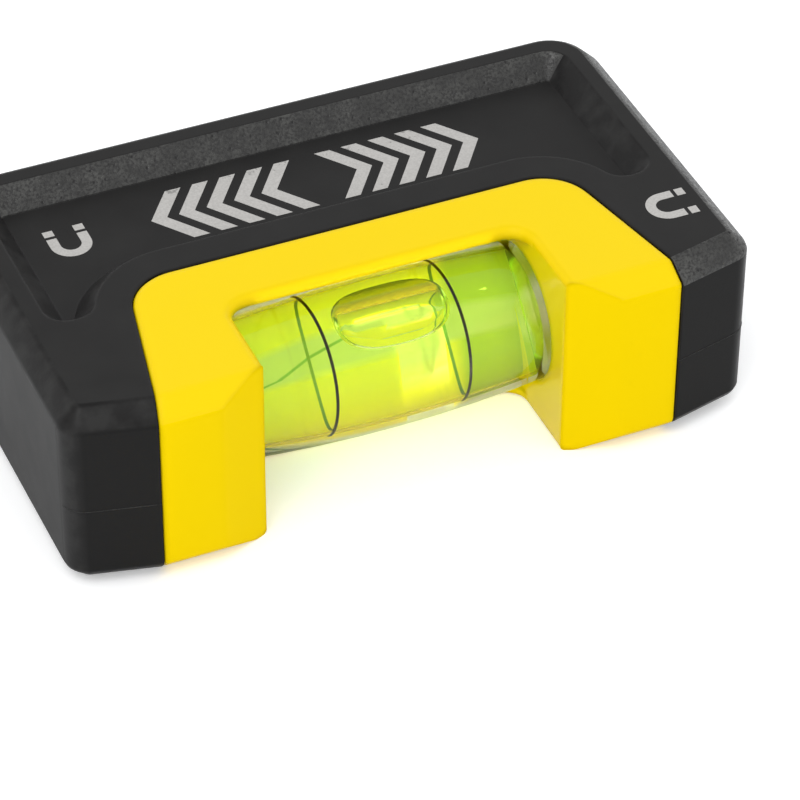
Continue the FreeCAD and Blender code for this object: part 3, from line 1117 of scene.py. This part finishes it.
class LEVEL_OT_stage(bpy.types.Operator):
    """White floor, soft light and the camera"""

    bl_idname = "level.stage"
    bl_label = "Stage"

    def execute(self, context):
        settings = context.scene.level_stage
        self.floor()
        self.world(context.scene)
        self.lamp("top_light", place=(-0.3, -0.3, 0.7), size=0.4, power=1.5)
        self.beam("vial_light", place=(2, -70, 32), target=(0, -3, 7), size=(30, 12), power=0.00006)
        self.beam("ceiling_light", place=(0, -42, 3), target=(0, -6, 20.5), size=(26, 6), power=0.0002)
        # These two beams light the seat where its painted pale patch and streak lie.
        self.beam("patch_light", place=(14, -45, 19), target=(5.8, -3, 5.2), size=(5.2, 3.4), power=0.00012)
        self.beam("streak_light", place=(12, -45, 19), target=(3.8, -2, 7.1), size=(7.6, 1.6), power=0.00022)
        self.camera(context.scene, settings)
        context.scene.view_settings.view_transform = "Standard"
        return {"FINISHED"}

    def seen_directly(self, tree):
        """1 for rays that should meet a plain white ground."""
        path = tree.add("ShaderNodeLightPath").outputs
        seen = calculated(tree, "MAXIMUM", path["Is Camera Ray"], path["Is Glossy Ray"])
        return calculated(tree, "MAXIMUM", seen, path["Is Transmission Ray"])

    def floor(self):
        build = bmesh.new()
        bmesh.ops.create_grid(build, x_segments=1, y_segments=1, size=FLOOR_HALF)
        floor = object_from("floor", build)
        material, tree = node_material("floor_white")
        matt = tree.add("ShaderNodeBsdfDiffuse", Color=rgba([FLOOR_WHITE] * 3))
        seen = tree.add("ShaderNodeLightPath").outputs["Is Camera Ray"]
        lift = tree.add("ShaderNodeEmission", Color=(1, 1, 1, 1), Strength=times(tree, seen, FLOOR_LIFT))
        finish_surface(tree, summed(tree, matt.outputs[0], lift.outputs[0]))
        floor.data.materials.append(material)

    def world(self, scene):
        world = bpy.data.worlds.new("studio")
        world.use_nodes = True
        world.node_tree.nodes.clear()
        tree = Tree(world.node_tree)
        mirrored = tree.add("ShaderNodeLightPath").outputs["Is Glossy Ray"]
        direction = tree.add("ShaderNodeTexCoord").outputs["Generated"]
        overhead = graded(tree, component(tree, direction, "Z"), 0.25, 0.7, 1.0, 0.6)
        brightness = tree.add("ShaderNodeMix", Factor=mirrored, A=1.0, B=overhead).outputs["Result"]
        seen = tree.add("ShaderNodeBackground", Color=(1, 1, 1, 1), Strength=brightness)
        light = tree.add("ShaderNodeBackground", Color=(0.98, 0.99, 1, 1), Strength=0.95)
        both = mixed(tree, self.seen_directly(tree), light.outputs[0], seen.outputs[0])
        tree.add("ShaderNodeOutputWorld", Surface=both)
        scene.world = world

    def lamp(self, name, place, size, power):
        data = bpy.data.lights.new(name, "AREA")
        data.shape = "DISK"
        data.size = size
        data.energy = power
        lamp = new_object(name, data)
        lamp.location = place
        lamp.rotation_euler = (-Vector(place)).to_track_quat("-Z", "Y").to_euler()

    def beam(self, name, place, target, size, power):
        """Narrow beam through the vial on to what lies behind it, its lengths in millimetres."""
        place, target, size = (Vector(value) * MM for value in (place, target, size))
        data = bpy.data.lights.new(name, "AREA")
        data.shape = "RECTANGLE"
        data.size, data.size_y = size
        data.spread = math.radians(1.2)
        data.energy = power
        lamp = new_object(name, data)
        lamp.location = place
        lamp.rotation_euler = (target - place).to_track_quat("-Z", "Y").to_euler()

    def camera(self, scene, settings):
        data = bpy.data.cameras.new("camera")
        data.lens = settings.camera_lens
        data.sensor_width = 36
        data.clip_start = 0.01
        camera = new_object("camera", data)
        azimuth, elevation, roll = (
            settings.camera_azimuth, settings.camera_elevation, settings.camera_roll
        )
        away = Vector((
            math.sin(azimuth) * math.cos(elevation),
            -math.cos(azimuth) * math.cos(elevation),
            math.sin(elevation),
        ))
        level_right = Vector((math.cos(azimuth), math.sin(azimuth), 0))
        level_up = away.cross(level_right)
        right = math.cos(roll) * level_right + math.sin(roll) * level_up
        up = -math.sin(roll) * level_right + math.cos(roll) * level_up
        turn = Matrix((right, up, away)).transposed()
        camera.matrix_world = Matrix.Translation(settings.camera_place) @ turn.to_4x4()
        scene.camera = camera


OPERATORS = (
    LEVEL_OT_casting,
    LEVEL_OT_holder,
    LEVEL_OT_vial,
    LEVEL_OT_rings,
    LEVEL_OT_bubble,
    LEVEL_OT_chevrons,
    LEVEL_OT_magnet_marks,
    LEVEL_OT_magnets,
    LEVEL_OT_parting_line,
    LEVEL_OT_stage,
)

SETTINGS = {
    "level_casting": CastingSettings,
    "level_holder": HolderSettings,
    "level_vial": VialSettings,
    "level_bubble": BubbleSettings,
    "level_marks": MarkSettings,
    "level_stage": StageSettings,
}


class LEVEL_PT_panel(bpy.types.Panel):
    """Pieces and sizes of the pocket level"""

    bl_idname = "LEVEL_PT_panel"
    bl_label = "Pocket Level"
    bl_space_type = "VIEW_3D"
    bl_region_type = "UI"
    bl_category = "Pocket Level"

    def draw(self, context):
        layout = self.layout
        for operator in OPERATORS:
            layout.operator(operator.bl_idname)
        for name in SETTINGS:
            group = getattr(context.scene, name)
            box = layout.box()
            for field in group.bl_rna.properties:
                if not field.is_readonly and field.identifier != "name":
                    box.prop(group, field.identifier)


def register():
    for kind in (*SETTINGS.values(), *OPERATORS, LEVEL_PT_panel):
        bpy.utils.register_class(kind)
    for name, kind in SETTINGS.items():
        setattr(bpy.types.Scene, name, PointerProperty(type=kind))


def unregister():
    for name in SETTINGS:
        delattr(bpy.types.Scene, name)
    for kind in reversed((*SETTINGS.values(), *OPERATORS, LEVEL_PT_panel)):
        bpy.utils.unregister_class(kind)


def main():
    register()
    for operator in OPERATORS:
        group, name = operator.bl_idname.split(".")
        getattr(getattr(bpy.ops, group), name)()


if __name__ == "__main__":
    main()
